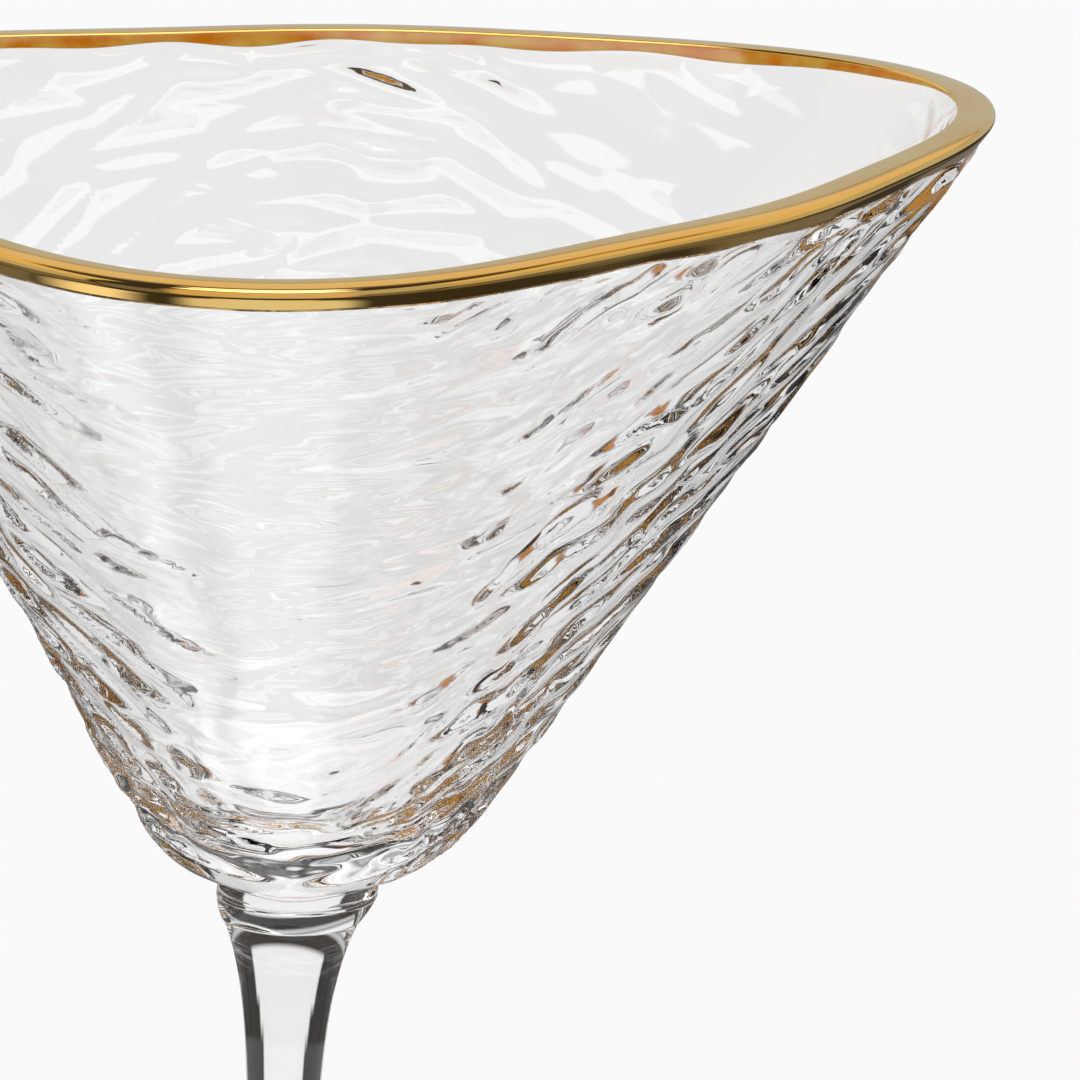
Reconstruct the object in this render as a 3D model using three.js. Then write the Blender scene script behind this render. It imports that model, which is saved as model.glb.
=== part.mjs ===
// A martini glass: a thick, soft three-cornered bowl with a gold lip, a fused collar, a
// drawn stem and a round foot. Millimetres, +Z up. The origin is the centre of the foot's
// flat underside. One corner of the bowl points to +X and a little towards +Y.

import * as THREE from 'three';

// Heights above the table.
const FOOT_HEIGHT = 5;
const STEM_TOP = 103.8;
const CREASE_HEIGHT = 106; // where the bowl sits on the collar
const BOWL_HEIGHT = 70; // from the crease to the lip

// The bowl's mean section: a straight wall on a rounded base. Heights from the crease.
const RIM_RADIUS = 54.7;
const WALL_LEAN = Math.atan(0.634); // the wall's angle from vertical
const NECK_RADIUS = 7.25;
const NECK_HEIGHT = 2.4;
const BASE_ROUNDING = 10;
const LIP_WIDTH = 4;
const CAVITY_FLOOR = 9; // solid glass under the drink
const CAVITY_ROUNDING = 9;

// The bowl's plan, as shares of its mean radius.
const CORNER_AZIMUTH = THREE.MathUtils.degToRad(27);
const CORNER_SWELL = 0.11;
const CORNER_SHARPENING = 0.026;
const OVAL = 0.032;
const OFF_CENTRE = 0.049; // the bowl sits a little towards +X
const ROUND_HEIGHT = 5.3; // the plan leaves the round over this height

// The gold layer on the lip, drawn thick enough to handle.
const GOLD_THICKNESS = 0.35;
const GOLD_DEPTH = 2.3; // how far it comes down the outside
const GOLD_GAP = 0.1;

// The collar, stem and foot.
const COLLAR_BOTTOM_RADIUS = 6.4;
const COLLAR_BULGE = 0.3;
const STEM_RADIUS = 3;
const STEM_TOP_RADIUS = 6;
const STEM_BOTTOM_RADIUS = 6.6;
const FLARE_HEIGHT = 7.3; // a flare dies away over this height
const FOOT_RADIUS = 39;
const FOOT_EDGE = 1.8;

// How finely the round things are cut.
const BOWL_SEGMENTS = 60;
const FOOT_SEGMENTS = 48;
const STEM_SEGMENTS = 28;
const STEM_STEPS = 18;
const CURVE_STEPS = 4;

const GLASS = { color: 0xf2f4f4, roughness: 0.04, metalness: 0 };
const GOLD = { color: 0xc79a3f, roughness: 0.18, metalness: 1 };

// The mean radius of the bowl's straight outer wall, moved out by an offset.
function wallRadius(height, offset = 0) {
  const straight = RIM_RADIUS - (BOWL_HEIGHT - height) * Math.tan(WALL_LEAN);
  return straight + offset / Math.cos(WALL_LEAN);
}

// How far the plan strays from round at an azimuth, as a share of the mean radius.
function straying(azimuth) {
  const fromCorner = azimuth - CORNER_AZIMUTH;
  return OFF_CENTRE * Math.cos(azimuth)
    + OVAL * Math.sin(2 * azimuth)
    + CORNER_SWELL * Math.cos(3 * fromCorner)
    + CORNER_SHARPENING * Math.cos(6 * fromCorner);
}

// A solid of revolution about Z from a path of radii and heights.
function turned(points, segments) {
  const geometry = new THREE.LatheGeometry(points, segments);
  geometry.rotateX(Math.PI / 2);
  return geometry;
}

// Gives a round solid the bowl's three-cornered plan and lifts it onto the crease. The
// cavity's wall moves out as far as the outer wall does, so the glass keeps its thickness.
function threeCornered(geometry) {
  const cavityShare = RIM_RADIUS / (RIM_RADIUS - LIP_WIDTH);
  const position = geometry.attributes.position;
  for (let i = 0; i < position.count; i += 1) {
    const height = position.getZ(i);
    const azimuth = Math.atan2(position.getY(i), position.getX(i));
    const radius = Math.hypot(position.getX(i), position.getY(i));
    const growth = 1 - Math.exp(-height / ROUND_HEIGHT);
    const reach = Math.min(radius * cavityShare, wallRadius(height));
    const pressed = radius + growth * reach * straying(azimuth);
    position.setXY(i, pressed * Math.cos(azimuth), pressed * Math.sin(azimuth));
  }
  geometry.translate(0, 0, CREASE_HEIGHT);
  return geometry;
}

// The centre of the arc that a wall at an offset runs into, and that bottoms out at lowest.
function baseArcCentre(wallOffset, rounding, lowest) {
  const height = lowest + rounding;
  const touchHeight = height - rounding * Math.sin(WALL_LEAN);
  const radius = wallRadius(touchHeight) + wallOffset - rounding * Math.cos(WALL_LEAN);
  return new THREE.Vector2(radius, height);
}

// A hollow with a straight wall and a solid base. The path runs up the outside, over the
// lip and down to the floor of the cavity.
function bowl() {
  const base = baseArcCentre(0, BASE_ROUNDING, NECK_HEIGHT);
  const floor = baseArcCentre(-LIP_WIDTH, CAVITY_ROUNDING, CAVITY_FLOOR);
  const neckAngle = -Math.acos((NECK_RADIUS - base.x) / BASE_ROUNDING);
  const path = new THREE.Path();
  path.moveTo(0, 0);
  path.lineTo(NECK_RADIUS, 0);
  path.absarc(base.x, base.y, BASE_ROUNDING, neckAngle, -WALL_LEAN);
  const wallHeights = [BOWL_HEIGHT / 3, BOWL_HEIGHT * 2 / 3, BOWL_HEIGHT];
  wallHeights.forEach((height) => path.lineTo(wallRadius(height), height));
  wallHeights.reverse();
  wallHeights.forEach((height) => path.lineTo(wallRadius(height) - LIP_WIDTH, height));
  path.absarc(floor.x, floor.y, CAVITY_ROUNDING, -WALL_LEAN, -Math.PI / 2, true);
  path.lineTo(0, CAVITY_FLOOR);
  return threeCornered(turned(path.getPoints(CURVE_STEPS), BOWL_SEGMENTS));
}

// A thin cap over the flat lip and down the outside of the wall.
function goldRim() {
  const lower = BOWL_HEIGHT - GOLD_DEPTH;
  const inner = BOWL_HEIGHT + GOLD_GAP;
  const outer = inner + GOLD_THICKNESS;
  const skin = GOLD_GAP + GOLD_THICKNESS;
  const path = new THREE.Path();
  path.moveTo(RIM_RADIUS - LIP_WIDTH, inner);
  path.lineTo(wallRadius(inner, GOLD_GAP), inner);
  path.lineTo(wallRadius(lower, GOLD_GAP), lower);
  path.lineTo(wallRadius(lower, skin), lower);
  path.lineTo(wallRadius(outer, skin), outer);
  path.lineTo(RIM_RADIUS - LIP_WIDTH, outer);
  path.closePath();
  return threeCornered(turned(path.getPoints(CURVE_STEPS), BOWL_SEGMENTS));
}

// The ring of glass that joins the bowl to the stem.
function collar() {
  const middle = (STEM_TOP + CREASE_HEIGHT) / 2;
  const path = new THREE.Path();
  path.moveTo(0, STEM_TOP);
  path.lineTo(COLLAR_BOTTOM_RADIUS, STEM_TOP);
  path.quadraticCurveTo(NECK_RADIUS + COLLAR_BULGE, middle, NECK_RADIUS, CREASE_HEIGHT);
  path.lineTo(0, CREASE_HEIGHT);
  return turned(path.getPoints(CURVE_STEPS), STEM_SEGMENTS);
}

// A solid rod that flares towards the collar and towards the foot.
function stem() {
  const points = [new THREE.Vector2(0, FOOT_HEIGHT)];
  for (let i = 0; i <= STEM_STEPS; i += 1) {
    const share = (1 - Math.cos(Math.PI * i / STEM_STEPS)) / 2;
    const height = THREE.MathUtils.lerp(FOOT_HEIGHT, STEM_TOP, share);
    const topFlare = Math.exp((height - STEM_TOP) / FLARE_HEIGHT);
    const bottomFlare = Math.exp((FOOT_HEIGHT - height) / FLARE_HEIGHT);
    const radius = STEM_RADIUS
      + (STEM_TOP_RADIUS - STEM_RADIUS) * topFlare
      + (STEM_BOTTOM_RADIUS - STEM_RADIUS) * bottomFlare;
    points.push(new THREE.Vector2(radius, height));
  }
  points.push(new THREE.Vector2(0, STEM_TOP));
  return turned(points, STEM_SEGMENTS);
}

// A flat disc with a rounded edge that rises to the stem.
function foot() {
  const edgeRounding = FOOT_EDGE / 2;
  const path = new THREE.Path();
  path.moveTo(0, 0);
  path.lineTo(FOOT_RADIUS - edgeRounding, 0);
  path.absarc(FOOT_RADIUS - edgeRounding, edgeRounding, edgeRounding, -Math.PI / 2, Math.PI / 2);
  path.quadraticCurveTo(FOOT_RADIUS / 3, FOOT_EDGE * 1.2, STEM_BOTTOM_RADIUS, FOOT_HEIGHT);
  path.lineTo(0, FOOT_HEIGHT);
  return turned(path.getPoints(CURVE_STEPS), FOOT_SEGMENTS);
}

// One named sub-part with its own material.
function piece(name, geometry, look) {
  geometry.computeVertexNormals();
  const mesh = new THREE.Mesh(geometry, new THREE.MeshStandardMaterial(look));
  mesh.name = name;
  return mesh;
}

const glass = new THREE.Group();
glass.name = 'martini_glass';
glass.add(piece('bowl', bowl(), GLASS));
glass.add(piece('gold_rim', goldRim(), GOLD));
glass.add(piece('collar', collar(), GLASS));
glass.add(piece('stem', stem(), GLASS));
glass.add(piece('foot', foot(), GLASS));

export default glass;
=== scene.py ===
# A martini glass in hammered clear glass with a gold lip, on a pale floor. Metres, +Z up.
# Heights and the foot's radius come from the CAD frame. The other dimensions are close to
# the part's own, with a rounder cavity, a thinner gold and a slightly bowed stem.

import math

import bmesh
import bpy
import numpy as np
from mathutils import Matrix, Vector


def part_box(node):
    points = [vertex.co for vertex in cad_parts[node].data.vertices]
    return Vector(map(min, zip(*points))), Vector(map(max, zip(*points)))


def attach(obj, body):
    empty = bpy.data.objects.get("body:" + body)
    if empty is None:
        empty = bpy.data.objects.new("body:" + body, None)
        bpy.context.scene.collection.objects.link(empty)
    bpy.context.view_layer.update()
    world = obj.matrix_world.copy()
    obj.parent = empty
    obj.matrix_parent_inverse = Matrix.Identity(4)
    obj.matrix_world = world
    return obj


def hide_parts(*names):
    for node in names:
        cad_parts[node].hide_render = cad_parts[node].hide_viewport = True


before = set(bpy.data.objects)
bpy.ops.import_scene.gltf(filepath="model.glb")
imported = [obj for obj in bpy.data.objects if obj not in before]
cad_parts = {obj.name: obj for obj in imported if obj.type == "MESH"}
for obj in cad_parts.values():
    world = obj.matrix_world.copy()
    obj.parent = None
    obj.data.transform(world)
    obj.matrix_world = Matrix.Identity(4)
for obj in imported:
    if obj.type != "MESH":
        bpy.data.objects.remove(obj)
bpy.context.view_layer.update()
MM = 0.001

# Heights and the foot, from the frame. The lip is a little lower than the CAD's.
FOOT_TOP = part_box("foot")[1].z
STEM_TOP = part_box("stem")[1].z
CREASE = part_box("bowl")[0].z
LIP_DROP = 0.25 * MM
BOWL_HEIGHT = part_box("bowl")[1].z - CREASE - LIP_DROP
FOOT_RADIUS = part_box("foot")[1].x

# The bowl's mean section.
RIM_RADIUS = 54.95 * MM
WALL_LEAN = math.atan(0.634)
NECK_RADIUS = 7.25 * MM
NECK_HEIGHT = 2.1 * MM
NECK_FILLET = 0.6 * MM
BASE_ROUNDING = 10 * MM
LIP_WIDTH = 3.9 * MM
LIP_OUTER_ROUNDING = 0.55 * MM
LIP_INNER_ROUNDING = 0.3 * MM
LIP_FALL = 0.16 * MM
CAVITY_FLOOR = 9 * MM
CAVITY_ROUNDING = 11 * MM

# The bowl's plan, as shares of its mean radius.
CORNER_AZIMUTH = math.radians(27)
CORNER_SWELL = 0.11
CORNER_SHARPENING = 0.026
OVAL = 0.032
OFF_CENTRE = 0.049
ROUND_HEIGHT = 5.3 * MM

# The gold, the collar, the stem and the foot.
GOLD_DEPTH = 2.1 * MM
GOLD_WAVER = 0.22 * MM
GOLD_LIFT = 0.01 * MM
GOLD_THICKNESS = 0.09 * MM
COLLAR_BOTTOM_RADIUS = 6.35 * MM
STEM_RADIUS = 3 * MM
STEM_TOP_RADIUS = 6.2 * MM
STEM_BOTTOM_RADIUS = 6.6 * MM
FLARE_HEIGHT = 7.3 * MM
STEM_SET_OFF = 0.45 * MM
STEM_BOW = 1.3 * MM
FOOT_EDGE = 1.8 * MM
FOOT_KICK = 0.25 * MM  # how far the middle of the foot's underside is hollowed
FOOT_KICK_RADIUS = 2 * MM
FOOT_REST_WIDTH = 3 * MM  # the flat ring that the foot stands on

# The hammering: long shallow dimples in overlapping rows, that lean up the bowl's sides.
DIMPLE_LENGTH = 12 * MM
DIMPLE_ROW = 2.7 * MM
DIMPLE_DEPTH = 0.44 * MM
DIMPLE_TILT = math.radians(33)
TILT_SPREAD = 16  # degrees either way
FEWEST_DIMPLES = 6
DIMPLE_SEED = 7

# How hard the hammering is: on the flats, low down and just under the gold.
FLATS_MEAN = 0.75
FLATS_SWING = 0.33
LOW_LEAST = 0.80
LOW_GAIN = 0.75
UNDER_GOLD_GAIN = 2.7
UNDER_GOLD_FADE = 3.5 * MM
BARE_NECK = 0.03  # as a share of the way up the wall
FULL_STRENGTH = 0.24
GOLD_MARGIN = 1.6 * MM

# Gentle unevenness: how high the waves are, how long, and their random seeds.
WAVE_SHORTEST = 10 * MM
WAVE_LONGEST = 28 * MM
OUTER_WAVE = 0.14 * MM
INNER_WAVE = 0.05 * MM
GOLD_WAVE_SEED = 31
OUTER_WAVE_SEED = 5
INNER_WAVE_SEED = 12

# How finely the pieces are meshed.
COLUMNS = 432
WALL_ROWS = 148
INNER_ROWS = 58
GOLD_ROWS = 4
WELD_DISTANCE = 1e-7

AZIMUTHS = np.arange(COLUMNS) * (2 * math.pi / COLUMNS)


# ---------------------------------------------------------------- outlines

def wall_radius(height, offset=0.0):
    straight = RIM_RADIUS - (BOWL_HEIGHT - height) * math.tan(WALL_LEAN)
    return straight + offset / math.cos(WALL_LEAN)


def straying(azimuth):
    """How far the plan strays from round, as a share of the mean radius."""
    from_corner = azimuth - CORNER_AZIMUTH
    return (
        OFF_CENTRE * np.cos(azimuth)
        + OVAL * np.sin(2 * azimuth)
        + CORNER_SWELL * np.cos(3 * from_corner)
        + CORNER_SHARPENING * np.cos(6 * from_corner)
    )


def three_cornered(radius, height, azimuth):
    """Points of a round shape pressed to the bowl's plan and lifted onto the crease."""
    cavity_share = RIM_RADIUS / (RIM_RADIUS - LIP_WIDTH)
    growth = 1 - np.exp(-np.maximum(height, 0) / ROUND_HEIGHT)
    reach = np.minimum(radius * cavity_share, wall_radius(height))
    pressed = radius + growth * reach * straying(azimuth)
    return np.stack(
        [pressed * np.cos(azimuth), pressed * np.sin(azimuth), height + CREASE], axis=-1
    )


def arc(centre, radius, start, end, steps):
    angles = np.linspace(start, end, steps + 1)
    return np.stack(
        [centre[0] + radius * np.cos(angles), centre[1] + radius * np.sin(angles)], axis=-1
    )


def line(start, end, steps):
    share = np.linspace(0, 1, steps + 1)[:, None]
    return np.array(start) * (1 - share) + np.array(end) * share


def joined(*runs):
    """One path out of several that meet end to end."""
    kept = [runs[0]]
    kept += [run[1:] for run in runs[1:]]
    return np.concatenate(kept)


def base_arc_centre(wall_offset, rounding, lowest):
    height = lowest + rounding
    touch = height - rounding * math.sin(WALL_LEAN)
    return (wall_radius(touch) + wall_offset - rounding * math.cos(WALL_LEAN), height)


def resampled(path, count):
    """The path again, with its points evenly spaced."""
    steps = np.hypot(*np.diff(path, axis=0).T)
    along = np.concatenate([[0], np.cumsum(steps)])
    wanted = np.linspace(0, along[-1], count)
    return np.stack([np.interp(wanted, along, path[:, i]) for i in range(2)], axis=-1), wanted


def outside_path():
    """From the crease up the neck and the wall, to where the lip's rounding starts."""
    centre = base_arc_centre(0, BASE_ROUNDING, NECK_HEIGHT)
    neck_angle = -math.acos((NECK_RADIUS + NECK_FILLET - centre[0]) / BASE_ROUNDING)
    start = arc(centre, BASE_ROUNDING, neck_angle, neck_angle, 1)[0]
    fillet_centre = (NECK_RADIUS + NECK_FILLET, start[1] - NECK_FILLET)
    fillet = arc(fillet_centre, NECK_FILLET, math.pi, math.pi / 2, 8)
    touch = centre[1] - BASE_ROUNDING * math.sin(WALL_LEAN)
    top = BOWL_HEIGHT - LIP_OUTER_ROUNDING * math.tan(math.pi / 4 + WALL_LEAN / 2)
    return joined(
        line((NECK_RADIUS, 0), fillet[0], 4),
        fillet,
        arc(centre, BASE_ROUNDING, neck_angle, -WALL_LEAN, 40),
        line((wall_radius(touch), touch), (wall_radius(top), top), 200),
    )


def lip_path(offset=0.0):
    """Over the lip, from the outer wall to the inner one, at an offset outwards. The crown
    falls a little towards the outside."""
    outer = LIP_OUTER_ROUNDING
    inner = LIP_INNER_ROUNDING
    top = BOWL_HEIGHT
    outer_centre = (wall_radius(top - outer) - outer / math.cos(WALL_LEAN), top - outer)
    inner_edge = wall_radius(top - inner) - LIP_WIDTH + inner / math.cos(WALL_LEAN)
    inner_centre = (inner_edge, top - inner)
    crown = line((outer_centre[0], top + offset), (inner_centre[0], top + offset), 8)
    crown[:, 1] -= LIP_FALL * np.linspace(1, 0, 9) ** 3
    outer_centre = (outer_centre[0], outer_centre[1] - LIP_FALL)
    fall_angle = math.atan(3 * LIP_FALL / (outer_centre[0] - inner_centre[0]))
    return joined(
        arc(outer_centre, outer + offset, -WALL_LEAN, math.pi / 2 - fall_angle, 8),
        crown[1:-1],
        arc(inner_centre, inner + offset, math.pi / 2, math.pi - WALL_LEAN, 6),
    )


def inside_path():
    """From the lip down the inner wall to the middle of the cavity's floor."""
    centre = base_arc_centre(-LIP_WIDTH, CAVITY_ROUNDING, CAVITY_FLOOR)
    touch = centre[1] - CAVITY_ROUNDING * math.sin(WALL_LEAN)
    start = lip_path()[-1]
    return joined(
        line(start, (wall_radius(touch) - LIP_WIDTH, touch), 120),
        arc(centre, CAVITY_ROUNDING, -WALL_LEAN, -math.pi / 2, 40),
        line((centre[0], CAVITY_FLOOR), (0, CAVITY_FLOOR), 8),
    )


def path_normals(path):
    """Unit normals on the right-hand side of the path's direction."""
    direction = np.gradient(path, axis=0)
    direction /= np.linalg.norm(direction, axis=1)[:, None]
    return np.stack([direction[:, 1], -direction[:, 0]], axis=-1)


# ---------------------------------------------------------------- meshes

def ring_solid(name, rings, materials, slots=None, bottom=None, top=None):
    """A mesh from rings of points, with a fan to a point at either end. Slots give each
    row's material, and bottom and top are a point and its fan's material."""
    rows, columns = rings.shape[:2]
    vertices = rings.reshape(-1, 3).tolist()
    grid = np.arange(rows * columns).reshape(rows, columns)
    after = np.roll(grid, -1, axis=1)
    quads = np.stack([grid[:-1], after[:-1], after[1:], grid[1:]], axis=-1).reshape(-1, 4)
    faces = quads.tolist()
    row_slots = np.zeros(rows - 1, int) if slots is None else np.array(slots)
    face_slots = np.repeat(row_slots, columns).tolist()
    for point, row, flip in ((bottom, 0, True), (top, -1, False)):
        if point is None:
            continue
        vertices.append(list(point[0]))
        centre = len(vertices) - 1
        for a, b in zip(grid[row], after[row]):
            faces.append([int(b), int(a), centre] if flip else [int(a), int(b), centre])
            face_slots.append(point[1])
    mesh = bpy.data.meshes.new(name)
    mesh.from_pydata(vertices, [], faces)
    for material in materials:
        mesh.materials.append(material)
    mesh.polygons.foreach_set("material_index", face_slots)
    mesh.polygons.foreach_set("use_smooth", [True] * len(faces))
    mesh.update()
    piece = bpy.data.objects.new(name, mesh)
    bpy.context.scene.collection.objects.link(piece)
    return piece


def stem_axis(height):
    """How far to the side the drawn stem strays from the bowl's axis at a height."""
    in_collar = np.clip((CREASE - height) / (CREASE - STEM_TOP), 0, 1)
    in_stem = np.clip((height - FOOT_TOP) / (STEM_TOP - FOOT_TOP), 0, 1)
    return -STEM_SET_OFF * in_collar * in_stem - STEM_BOW * in_stem * (1 - in_stem ** 4)


def turned_rings(path):
    """Rings of a round piece, centred on the drawn stem's axis."""
    radius = path[:, 0][:, None]
    height = np.repeat(path[:, 1][:, None], COLUMNS, axis=1)
    across = radius * np.cos(AZIMUTHS) + stem_axis(height)
    return np.stack([across, radius * np.sin(AZIMUTHS), height], axis=-1)


# ---------------------------------------------------------------- hammering

def dimples(length):
    """Every dimple's place and shape, in staggered rows from the neck to the lip. They
    lie level at the front and back and lean up the bowl's sides."""
    random = np.random.default_rng(DIMPLE_SEED)
    path, along = resampled(outside_path(), 400)
    made = []
    rows = int(length / DIMPLE_ROW)
    for row in range(rows + 1):
        centre = (row + 0.5) * length / (rows + 1)
        radius = np.interp(centre, along, path[:, 0])
        count = max(FEWEST_DIMPLES, int(round(2 * math.pi * radius / DIMPLE_LENGTH)))
        for i in range(count):
            turn = i + 0.5 * (row % 2) + random.uniform(-0.32, 0.32)
            azimuth = turn / count * 2 * math.pi
            place = centre + random.uniform(-0.42, 0.42) * DIMPLE_ROW
            half_length = 0.5 * DIMPLE_LENGTH * random.uniform(0.8, 1.4)
            half_width = 0.5 * DIMPLE_ROW * random.uniform(0.95, 1.5)
            lean = max(-1, min(1, 1.4 * math.cos(azimuth)))
            spread = math.radians(random.uniform(-TILT_SPREAD, TILT_SPREAD))
            tilt = DIMPLE_TILT * lean + spread
            depth = random.uniform(0.2, 1.0)
            made.append((place, azimuth, radius, half_length, half_width, tilt, depth))
    return np.array(made)


def hammering(along, radii, azimuths):
    """Height of the hammered surface, as a share of the dimples' depth, on a grid of places
    along the wall and azimuths. The nearest dimples win, and a crest is left between."""
    made = dimples(along[-1])
    depth = np.zeros((len(along), len(azimuths)))
    for i, place in enumerate(along):
        near = made[np.abs(made[:, 0] - place) < 3.2 * DIMPLE_ROW]
        across = near[:, 1][:, None] - azimuths[None, :]
        across = (across + math.pi) % (2 * math.pi) - math.pi
        x = across * radii[i]
        y = np.repeat((near[:, 0] - place)[:, None], len(azimuths), axis=1)
        cosine = np.cos(near[:, 5])[:, None]
        sine = np.sin(near[:, 5])[:, None]
        lengthwise = (x * cosine + y * sine) / near[:, 3][:, None]
        crosswise = (-x * sine + y * cosine) / near[:, 4][:, None]
        apart = lengthwise * lengthwise + crosswise * crosswise
        weight = np.exp(-5.0 * np.minimum(apart, 6))
        rise = near[:, 6][:, None] * np.minimum(apart, 1.6)
        depth[i] = (weight * rise).sum(0) / weight.sum(0)
    return depth - depth.mean()


def smooth_step(low, high, value):
    share = np.clip((value - low) / (high - low), 0, 1)
    return share * share * (3 - 2 * share)


def waves(azimuth, along, count, amplitude, seed):
    """Gentle unevenness: a few crossing waves round and up the wall."""
    random = np.random.default_rng(seed)
    total = np.zeros(np.broadcast(azimuth, along).shape)
    for _ in range(count):
        turns = int(random.integers(3, 26))
        wavelength = random.uniform(WAVE_SHORTEST, WAVE_LONGEST)
        phase, swing = random.uniform(0, 2 * math.pi, 2)
        place = turns * azimuth + 2 * math.pi * along / wavelength + phase
        total += np.sin(place) * math.cos(swing)
    return amplitude * total / math.sqrt(count)


# ---------------------------------------------------------------- materials

def new_material(name):
    material = bpy.data.materials.new(name)
    material.use_nodes = True
    tree = material.node_tree
    shader = tree.nodes["Principled BSDF"]
    return material, tree, shader


def noise(tree, scale, detail=2.0):
    """A noise texture on the object's own coordinates."""
    coordinates = tree.nodes.new("ShaderNodeTexCoord")
    texture = tree.nodes.new("ShaderNodeTexNoise")
    texture.inputs["Scale"].default_value = scale
    texture.inputs["Detail"].default_value = detail
    tree.links.new(coordinates.outputs["Object"], texture.inputs["Vector"])
    return texture.outputs["Fac"]


def ranged(tree, value, low, high, out_low, out_high):
    """The value again, moved from one range to another."""
    node = tree.nodes.new("ShaderNodeMapRange")
    node.inputs["From Min"].default_value = low
    node.inputs["From Max"].default_value = high
    node.inputs["To Min"].default_value = out_low
    node.inputs["To Max"].default_value = out_high
    tree.links.new(value, node.inputs["Value"])
    return node.outputs["Result"]


def bumped(tree, shader, height, strength, distance):
    bump = tree.nodes.new("ShaderNodeBump")
    bump.inputs["Strength"].default_value = strength
    bump.inputs["Distance"].default_value = distance
    tree.links.new(height, bump.inputs["Height"])
    tree.links.new(bump.outputs["Normal"], shader.inputs["Normal"])


def clear_glass(name, ripple_scale, ripple):
    """Clear soda-lime glass with a fine ripple left by the mould."""
    material, tree, shader = new_material(name)
    shader.inputs["Base Color"].default_value = (1, 1, 1, 1)
    shader.inputs["Transmission Weight"].default_value = 1
    shader.inputs["IOR"].default_value = 1.5
    mould = noise(tree, ripple_scale)
    roughness = ranged(tree, mould, 0.35, 0.7, 0.0, 0.015)
    tree.links.new(roughness, shader.inputs["Roughness"])
    bumped(tree, shader, mould, 1.0, ripple)
    return material


def inner_boundary(name):
    """Where two pieces are fused, or gold lies on the glass, light goes straight on."""
    material, _, shader = new_material(name)
    shader.inputs["Base Color"].default_value = (1, 1, 1, 1)
    shader.inputs["Alpha"].default_value = 0
    shader.inputs["Roughness"].default_value = 1
    return material


def two_tones(tree, value, low, low_colour, high, high_colour):
    """A colour that goes from one tone to another as the value rises."""
    ramp = tree.nodes.new("ShaderNodeValToRGB")
    stops = ramp.color_ramp.elements
    stops[0].position = low
    stops[0].color = (*low_colour, 1)
    stops[1].position = high
    stops[1].color = (*high_colour, 1)
    tree.links.new(value, ramp.inputs["Fac"])
    return ramp.outputs["Color"]


def gold_lustre():
    """Burnished liquid gold, a little uneven in tone."""
    material, tree, shader = new_material("gold_lustre")
    shader.inputs["Metallic"].default_value = 1
    tone = noise(tree, 90, 3.0)
    colour = two_tones(tree, tone, 0.3, (0.98, 0.57, 0.14), 0.7, (1.0, 0.67, 0.23))
    tree.links.new(colour, shader.inputs["Base Color"])
    wear = noise(tree, 420, 4.0)
    roughness = ranged(tree, wear, 0.3, 0.75, 0.03, 0.08)
    tree.links.new(roughness, shader.inputs["Roughness"])
    bumped(tree, shader, wear, 0.4, 0.003 * MM)
    return material


def gold_underside():
    """The gold as the glass sees it: fired on, so matt, and mottled amber and brown. It
    glows a little, in place of the light that comes through the thin gold."""
    material, tree, shader = new_material("gold_underside")
    shader.inputs["Specular IOR Level"].default_value = 0
    tone = noise(tree, 300, 3.0)
    colour = two_tones(tree, tone, 0.36, (0.68, 0.25, 0.01), 0.66, (0.72, 0.50, 0.10))
    tree.links.new(colour, shader.inputs["Base Color"])
    tree.links.new(colour, shader.inputs["Emission Color"])
    shader.inputs["Emission Strength"].default_value = 0.25
    roughness = ranged(tree, tone, 0.3, 0.7, 0.45, 0.75)
    tree.links.new(roughness, shader.inputs["Roughness"])
    return material


# ---------------------------------------------------------------- pieces

def gold_edge(azimuths):
    """How far below the lip the gold reaches, round the bowl: painted by hand."""
    return GOLD_DEPTH + waves(azimuths, 0 * azimuths, 9, GOLD_WAVER, GOLD_WAVE_SEED)


def hammer_strength(azimuth, share, below_gold):
    """Hardest on the three flats, low down and just under the gold; gentle on the corners."""
    flats = FLATS_MEAN - FLATS_SWING * np.cos(3 * (azimuth - CORNER_AZIMUTH))
    low = LOW_LEAST + LOW_GAIN * (1 - share)
    under_gold = 1 + UNDER_GOLD_GAIN * np.exp(-below_gold / UNDER_GOLD_FADE)
    neck = smooth_step(BARE_NECK, FULL_STRENGTH, share)
    ends = neck * smooth_step(0, GOLD_MARGIN, below_gold)
    return flats * low * under_gold * ends


def outer_rings():
    """The hammered outside, up to the lower edge of the gold."""
    path, along = resampled(outside_path(), 900)
    slope = math.cos(WALL_LEAN)
    above = (BOWL_HEIGHT - path[-1, 1]) / slope
    reach = along[-1] - (gold_edge(AZIMUTHS) / slope - above)
    share = np.linspace(0, 1, WALL_ROWS + 1)[:, None]
    places = share * reach[None, :]
    radius = np.interp(places, along, path[:, 0])
    height = np.interp(places, along, path[:, 1])
    normals = path_normals(path)
    normal_r = np.interp(places, along, normals[:, 0])
    normal_h = np.interp(places, along, normals[:, 1])
    middle = np.interp(places.mean(1), along, path[:, 0])
    depth = hammering(places.mean(1), middle, AZIMUTHS) * DIMPLE_DEPTH
    below_gold = reach[None, :] - places
    strength = hammer_strength(AZIMUTHS[None, :], places / along[-1], below_gold)
    depth *= strength
    depth += waves(AZIMUTHS[None, :], places, 8, OUTER_WAVE, OUTER_WAVE_SEED) * strength
    return three_cornered(radius + depth * normal_r, height + depth * normal_h, AZIMUTHS[None, :])


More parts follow.
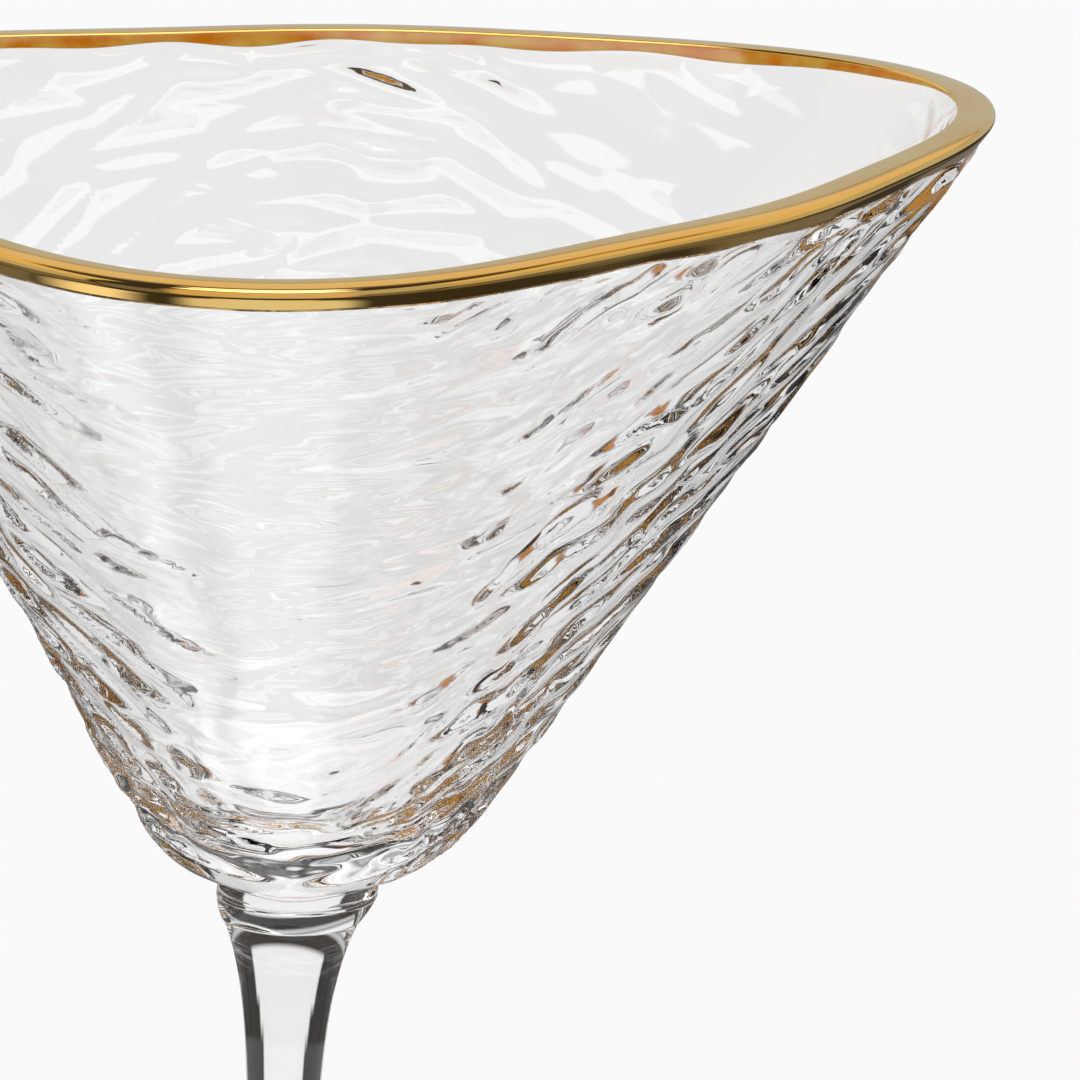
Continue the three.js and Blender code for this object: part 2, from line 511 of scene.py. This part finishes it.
def gold_zone(offset):
    """The wall's last stretch under the gold and the lip, at an offset outwards."""
    lip = lip_path(offset)
    edge_height = BOWL_HEIGHT - gold_edge(AZIMUTHS)
    bottom_height = edge_height - offset * math.sin(WALL_LEAN)
    bottom_radius = wall_radius(edge_height) + offset * math.cos(WALL_LEAN)
    share = np.linspace(0, 1, GOLD_ROWS + 1)[:, None]
    radius = bottom_radius * (1 - share) + lip[0, 0] * share
    height = bottom_height * (1 - share) + lip[0, 1] * share
    lip_radius = np.repeat(lip[1:, 0][:, None], COLUMNS, axis=1)
    lip_height = np.repeat(lip[1:, 1][:, None], COLUMNS, axis=1)
    radius = np.concatenate([radius, lip_radius])
    height = np.concatenate([height, lip_height])
    return three_cornered(radius, height, AZIMUTHS[None, :])


def inner_rings():
    """The smooth inside, down to the ring round the middle of the floor."""
    path, along = resampled(inside_path(), INNER_ROWS + 1)
    path = path[:-1]
    along = along[:-1]
    normals = path_normals(path)
    depth = waves(AZIMUTHS[None, :], along[:, None], 10, INNER_WAVE, INNER_WAVE_SEED)
    fade = smooth_step(0, 6 * MM, along) * smooth_step(0, 10 * MM, along[-1] - along)
    depth = depth * fade[:, None]
    radius = path[:, 0][:, None] + depth * normals[:, 0][:, None]
    height = path[:, 1][:, None] + depth * normals[:, 1][:, None]
    return three_cornered(radius, height, AZIMUTHS[None, :])


def bowl(glass, boundary):
    """A thick open bowl: the outside, the lip under the gold and the inside, all one."""
    outer = outer_rings()
    covered = gold_zone(0.0)
    inner = inner_rings()
    rings = np.concatenate([outer, covered[1:], inner[1:]])
    slots = [0] * (len(outer) - 1) + [1] * (len(covered) - 1) + [0] * (len(inner) - 1)
    return ring_solid(
        "bowl_glass", rings, (glass, boundary), slots,
        bottom=((0, 0, CREASE), 1), top=((0, 0, CREASE + CAVITY_FLOOR), 0),
    )


def gold_lip(gold, underside):
    """A thin closed skin of gold over the lip."""
    inner = gold_zone(GOLD_LIFT)
    outer = gold_zone(GOLD_THICKNESS)
    rings = np.concatenate([outer, inner[::-1], outer[:1]])
    slots = [0] * len(outer) + [1] * (len(inner) - 1) + [0]
    piece = ring_solid("gold_lip", rings, (gold, underside), slots)
    weld(piece)
    return piece


def weld(piece):
    """Joins the first and last ring, where the two are the same points."""
    mesh = bmesh.new()
    mesh.from_mesh(piece.data)
    bmesh.ops.remove_doubles(mesh, verts=mesh.verts, dist=WELD_DISTANCE)
    mesh.to_mesh(piece.data)
    mesh.free()


def curve(start, bend, end, steps):
    """A path from start to end that leans towards bend."""
    t = np.linspace(0, 1, steps + 1)[:, None]
    return (1 - t) ** 2 * start + 2 * t * (1 - t) * bend + t ** 2 * end


def collar(glass, boundary):
    """The fused ring under the bowl, with a small step out from the stem."""
    start = np.array([COLLAR_BOTTOM_RADIUS, STEM_TOP])
    bulge = 0.7 * NECK_RADIUS + 0.3 * COLLAR_BOTTOM_RADIUS
    bend = np.array([bulge, 0.5 * (STEM_TOP + CREASE)])
    path = curve(start, bend, np.array([NECK_RADIUS, CREASE]), 12)
    step = line((stem_radius(STEM_TOP), STEM_TOP), start, 2)
    path = joined(step, path)
    return ring_solid(
        "collar_glass", turned_rings(path), (glass, boundary), None,
        bottom=((stem_axis(STEM_TOP), 0, STEM_TOP), 1), top=((0, 0, CREASE), 1),
    )


def stem_radius(height):
    top_flare = np.exp((height - STEM_TOP) / FLARE_HEIGHT)
    bottom_flare = np.exp((FOOT_TOP - height) / FLARE_HEIGHT)
    return (
        STEM_RADIUS
        + (STEM_TOP_RADIUS - STEM_RADIUS) * top_flare
        + (STEM_BOTTOM_RADIUS - STEM_RADIUS) * bottom_flare
    )


def stem(glass, boundary):
    """A drawn rod that flares at both ends, with its rings closer together there."""
    share = (1 - np.cos(np.linspace(0, math.pi, 121))) / 2
    height = FOOT_TOP + (STEM_TOP - FOOT_TOP) * share
    path = np.stack([stem_radius(height), height], axis=-1)
    return ring_solid(
        "stem_glass", turned_rings(path), (glass, boundary), None,
        bottom=((0, 0, FOOT_TOP), 1), top=((stem_axis(STEM_TOP), 0, STEM_TOP), 1),
    )


def foot(glass, boundary):
    """A disc with a rounded edge whose top rises to the stem."""
    rounding = FOOT_EDGE / 2
    inset = FOOT_RADIUS - rounding
    rest = inset - FOOT_REST_WIDTH
    start = np.array([inset, FOOT_EDGE])
    bend = np.array([FOOT_RADIUS / 3, FOOT_EDGE * 1.2])
    end = np.array([float(stem_radius(FOOT_TOP)), FOOT_TOP])
    path = joined(
        line((FOOT_KICK_RADIUS, FOOT_KICK), (rest, 0), 16),
        line((rest, 0), (inset, 0), 2),
        arc((inset, rounding), rounding, -math.pi / 2, math.pi / 2, 12),
        curve(start, bend, end, 60),
    )
    return ring_solid(
        "foot_glass", turned_rings(path), (glass, boundary), None,
        bottom=((0, 0, FOOT_KICK), 0), top=((0, 0, FOOT_TOP), 1),
    )


# ---------------------------------------------------------------- stage

def number(tree, operation, *values):
    """One maths node; each value is a number or a socket."""
    node = tree.nodes.new("ShaderNodeMath")
    node.operation = operation
    for socket, value in zip(node.inputs, values):
        if isinstance(value, (int, float)):
            socket.default_value = value
        else:
            tree.links.new(value, socket)
    return node.outputs[0]


def stepped(tree, value, low, high):
    """0 below low, 1 above high, and smooth between. The other way round if low > high."""
    node = tree.nodes.new("ShaderNodeMapRange")
    node.interpolation_type = "SMOOTHSTEP"
    node.inputs["From Min"].default_value = min(low, high)
    node.inputs["From Max"].default_value = max(low, high)
    node.inputs["To Min"].default_value = 0 if low < high else 1
    node.inputs["To Max"].default_value = 1 if low < high else 0
    tree.links.new(value, node.inputs["Value"])
    return node.outputs["Result"]


def panel(tree, azimuth, elevation, centre, half_width, lowest, highest, soft):
    """1 inside a soft-edged panel of the surroundings, 0 outside. Degrees."""
    away = number(tree, "SUBTRACT", azimuth, math.radians(centre))
    away = number(tree, "WRAP", away, math.pi, -math.pi)
    away = number(tree, "ABSOLUTE", away)
    degrees = math.radians
    inside = stepped(tree, away, degrees(half_width + soft), degrees(half_width - soft))
    above = stepped(tree, elevation, degrees(lowest - soft), degrees(lowest + soft))
    below = stepped(tree, elevation, degrees(highest + soft), degrees(highest - soft))
    return number(tree, "MULTIPLY", inside, number(tree, "MULTIPLY", above, below))


# Bright panels: centre azimuth, half width, lowest and highest elevation and softness of
# the edges, all in degrees, then brightness. BEHIND stands across the glass from the
# camera and from seven other sides, and reflects only faintly. At azimuths 45 and 135 it is
# low down only, which keeps the stem's edges dark but leaves the glass dark to a low camera
# that faces that way.
BEHIND = (
    (90.5, 22, -26, 2, 1.5, 0.88),
    (90, 25, -11, 3, 1.5, 0.885),
    (90, 28, -7, 5, 1.5, 0.885),
    (90, 19, -66, -23, 1.5, 1.03),
    (315, 21, -40, 2, 1.5, 0.90),
    (135, 18, -45, -21, 2, 0.85),
    (180, 20, -40, 2, 1.5, 0.90),
    (225, 22, -40, 2, 1.5, 0.88),
    (270, 24, -40, 2, 1.5, 0.88),
    (0, 22, -40, 2, 1.5, 0.88),
    (45, 18, -45, -21, 2, 0.85),
    (90, 70, 13.5, 17, 1.5, 0.56),
    (90, 50, 18, 64, 3, 1.0),
)
PANELS = (
    (-90, 50, 51, 72, 2, 3.0),
    (-90, 40, -72, -65, 3, 1.0),
    (156, 20, -62, -48, 5, 1.0),
)
# Seen only in reflections, with a brightness for each channel: a grey horizon and a warm
# light above it, which give the gold its bands.
REFLECTED = (
    (90, 110, -9, 18.5, 2, (0.50, 0.53, 0.53)),
    (90, 110, 18, 45, 3, (0.74, 0.64, 0.44)),
    (315, 38, -9, 45, 2, (0.47, 0.50, 0.52)),
    (-90, 40, -38, 44, 7, (0.66, 0.56, 0.42)),
)
# Panels that give the cut glass its warm flecks, placed in the same way. Seen only
# through the glass, in the colour WARM.
WARM_PANELS = (
    (44, 16, -64, -41, 4, 1.15),
    (130, 18, -64, -32, 4, 1.15),
    (90, 60, -66, -44, 4, 0.9),
)
DARK = (0.042, 0.039, 0.037)
WARM = (0.44, 0.19, 0.05)

# Overhead and underfoot: the elevations between which each fades in, and how bright it is.
OVERHEAD = (70, 76)
OVERHEAD_LIGHT = 1.8
UNDERFOOT = (-69, -76)
UNDERFOOT_THROUGH = 0.8
UNDERFOOT_REFLECTED = (0.74, 0.78, 0.84)

REFLECTED_SHARE = 0.2  # of BEHIND's brightness, in reflections
MOTTLE_SCALE = 5.0
MOTTLE = (0.47, 0.58)  # the noise between which a warm patch fades in
PLAIN_WHITE = (0.98, 0.975, 0.98, 1)
FLOOR_HALF = 30.0
FLOOR_DROP = 0.1 * MM

# The camera, from the front and a little above, close in on the bowl's right-hand side.
CAMERA_ELEVATION = math.radians(14.41)
CAMERA_ROLL = math.radians(1.26)
CAMERA_DISTANCE = 0.832
CAMERA_TARGET = Vector((0.02114, 0, CREASE + 0.0332))
CAMERA_LENS = 311.6


def brightest(tree, azimuth, elevation, panels, start):
    """The brightest panel in each direction, or start where that is brighter."""
    level = start
    for centre, half_width, lowest, highest, soft, strength in panels:
        shape = panel(tree, azimuth, elevation, centre, half_width, lowest, highest, soft)
        level = number(tree, "MAXIMUM", level, number(tree, "MULTIPLY", shape, strength))
    return level


def surroundings(tree, direction, azimuth, elevation, transmitted):
    """What the glass and the gold see, as three channels."""
    overhead = stepped(tree, elevation, *(math.radians(angle) for angle in OVERHEAD))
    overhead = number(tree, "MULTIPLY", overhead, OVERHEAD_LIGHT)
    behind = brightest(tree, azimuth, elevation, BEHIND, 0.0)
    seen = number(tree, "MULTIPLY_ADD", transmitted, 1 - REFLECTED_SHARE, REFLECTED_SHARE)
    bright = number(tree, "MAXIMUM", overhead, number(tree, "MULTIPLY", behind, seen))
    bright = brightest(tree, azimuth, elevation, PANELS, bright)
    mottle = tree.nodes.new("ShaderNodeTexNoise")
    mottle.inputs["Scale"].default_value = MOTTLE_SCALE
    tree.links.new(direction, mottle.inputs["Vector"])
    patches = stepped(tree, mottle.outputs["Fac"], *MOTTLE)
    warm = brightest(tree, azimuth, elevation, WARM_PANELS, 0.0)
    warm = number(tree, "MULTIPLY", number(tree, "MULTIPLY", warm, patches), transmitted)
    outward = number(tree, "SUBTRACT", 1.0, transmitted)
    mirrored = [
        (number(tree, "MULTIPLY", panel(tree, azimuth, elevation, *place), outward), colour)
        for *place, colour in REFLECTED
    ]
    below = stepped(tree, elevation, *(math.radians(angle) for angle in UNDERFOOT))
    for channel in range(3):
        level = number(tree, "MAXIMUM", bright, DARK[channel])
        level = number(tree, "MAXIMUM", level, number(tree, "MULTIPLY", warm, WARM[channel]))
        for shape, colour in mirrored:
            lit = number(tree, "MULTIPLY", shape, colour[channel])
            level = number(tree, "MAXIMUM", level, lit)
        mirror = UNDERFOOT_REFLECTED[channel]
        under = number(tree, "MULTIPLY_ADD", transmitted, UNDERFOOT_THROUGH - mirror, mirror)
        dimmed = number(tree, "MULTIPLY", level, number(tree, "SUBTRACT", 1.0, below))
        yield number(tree, "MULTIPLY_ADD", under, below, dimmed)


def studio_world():
    """White to the eye and on the floor. In the glass and the gold, a dim studio with a soft
    light overhead and bright panels, which is what draws a glass's dark edges."""
    world = bpy.data.worlds.new("studio")
    bpy.context.scene.world = world
    world.use_nodes = True
    world.cycles.sampling_method = "NONE"
    tree = world.node_tree
    tree.nodes.clear()
    coordinates = tree.nodes.new("ShaderNodeTexCoord")
    axes = tree.nodes.new("ShaderNodeSeparateXYZ")
    tree.links.new(coordinates.outputs["Generated"], axes.inputs[0])
    azimuth = number(tree, "ARCTAN2", axes.outputs["Y"], axes.outputs["X"])
    elevation = number(tree, "ARCSINE", axes.outputs["Z"])
    path = tree.nodes.new("ShaderNodeLightPath")
    colour = tree.nodes.new("ShaderNodeCombineXYZ")
    transmitted = path.outputs["Is Transmission Ray"]
    direction = coordinates.outputs["Generated"]
    channels = surroundings(tree, direction, azimuth, elevation, transmitted)
    for socket, value in zip(colour.inputs, channels):
        tree.links.new(value, socket)
    lit = number(tree, "MINIMUM", path.outputs["Diffuse Depth"], 1.0)
    plain = number(tree, "MAXIMUM", path.outputs["Is Camera Ray"], lit)
    mix = tree.nodes.new("ShaderNodeMix")
    mix.data_type = "RGBA"
    colour_inputs = [socket for socket in mix.inputs if socket.type == "RGBA"]
    colour_inputs[1].default_value = PLAIN_WHITE
    tree.links.new(plain, mix.inputs[0])
    tree.links.new(colour.outputs[0], colour_inputs[0])
    background = tree.nodes.new("ShaderNodeBackground")
    mixed = [socket for socket in mix.outputs if socket.type == "RGBA"][0]
    tree.links.new(mixed, background.inputs["Color"])
    output = tree.nodes.new("ShaderNodeOutputWorld")
    tree.links.new(background.outputs[0], output.inputs["Surface"])


def floor():
    """A wide pale floor just under the foot."""
    material, tree, shader = new_material("pale_floor")
    shader.inputs["Base Color"].default_value = (0.985, 0.98, 0.985, 1)
    shader.inputs["Roughness"].default_value = 1
    shader.inputs["Specular IOR Level"].default_value = 0
    signs = ((-1, -1), (1, -1), (1, 1), (-1, 1))
    corners = [(x * FLOOR_HALF, y * FLOOR_HALF, -FLOOR_DROP) for x, y in signs]
    mesh = bpy.data.meshes.new("floor")
    mesh.from_pydata(corners, [], [(0, 1, 2, 3)])
    mesh.materials.append(material)
    piece = bpy.data.objects.new("floor", mesh)
    bpy.context.scene.collection.objects.link(piece)
    piece.visible_transmission = False
    piece.visible_glossy = False


def camera():
    data = bpy.data.cameras.new("camera")
    data.sensor_width = 36
    data.lens = CAMERA_LENS
    data.clip_end = 100
    eye = bpy.data.objects.new("camera", data)
    bpy.context.scene.collection.objects.link(eye)
    away = Vector((0, -math.cos(CAMERA_ELEVATION), math.sin(CAMERA_ELEVATION)))
    tip = Matrix.Rotation(math.pi / 2 - CAMERA_ELEVATION, 4, "X")
    turn = tip @ Matrix.Rotation(CAMERA_ROLL, 4, "Z")
    eye.matrix_world = Matrix.Translation(CAMERA_TARGET + CAMERA_DISTANCE * away) @ turn
    bpy.context.scene.camera = eye


def light_settings():
    """Plain colours, and enough bounces for light to cross the thick glass."""
    scene = bpy.context.scene
    scene.view_settings.view_transform = "Standard"
    scene.cycles.max_bounces = 24
    scene.cycles.transmission_bounces = 24
    scene.cycles.glossy_bounces = 12
    scene.cycles.transparent_max_bounces = 24


# ---------------------------------------------------------------- the whole

camera()
studio_world()
floor()
light_settings()

BOUNDARY = inner_boundary("fused_boundary")
MADE = (
    (bowl(clear_glass("bowl_clear", 150, 0.002 * MM), BOUNDARY), "bowl", "clear_glass"),
    (gold_lip(gold_lustre(), gold_underside()), "gold_rim", "gold_lustre"),
    (collar(clear_glass("collar_clear", 90, 0.01 * MM), BOUNDARY), "collar", "clear_glass"),
    (stem(clear_glass("stem_clear", 70, 0.008 * MM), BOUNDARY), "stem", "clear_glass"),
    (foot(clear_glass("foot_clear", 50, 0.008 * MM), BOUNDARY), "foot", "clear_glass"),
)
for made, node, slot in MADE:
    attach(made, "root")
    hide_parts(node)
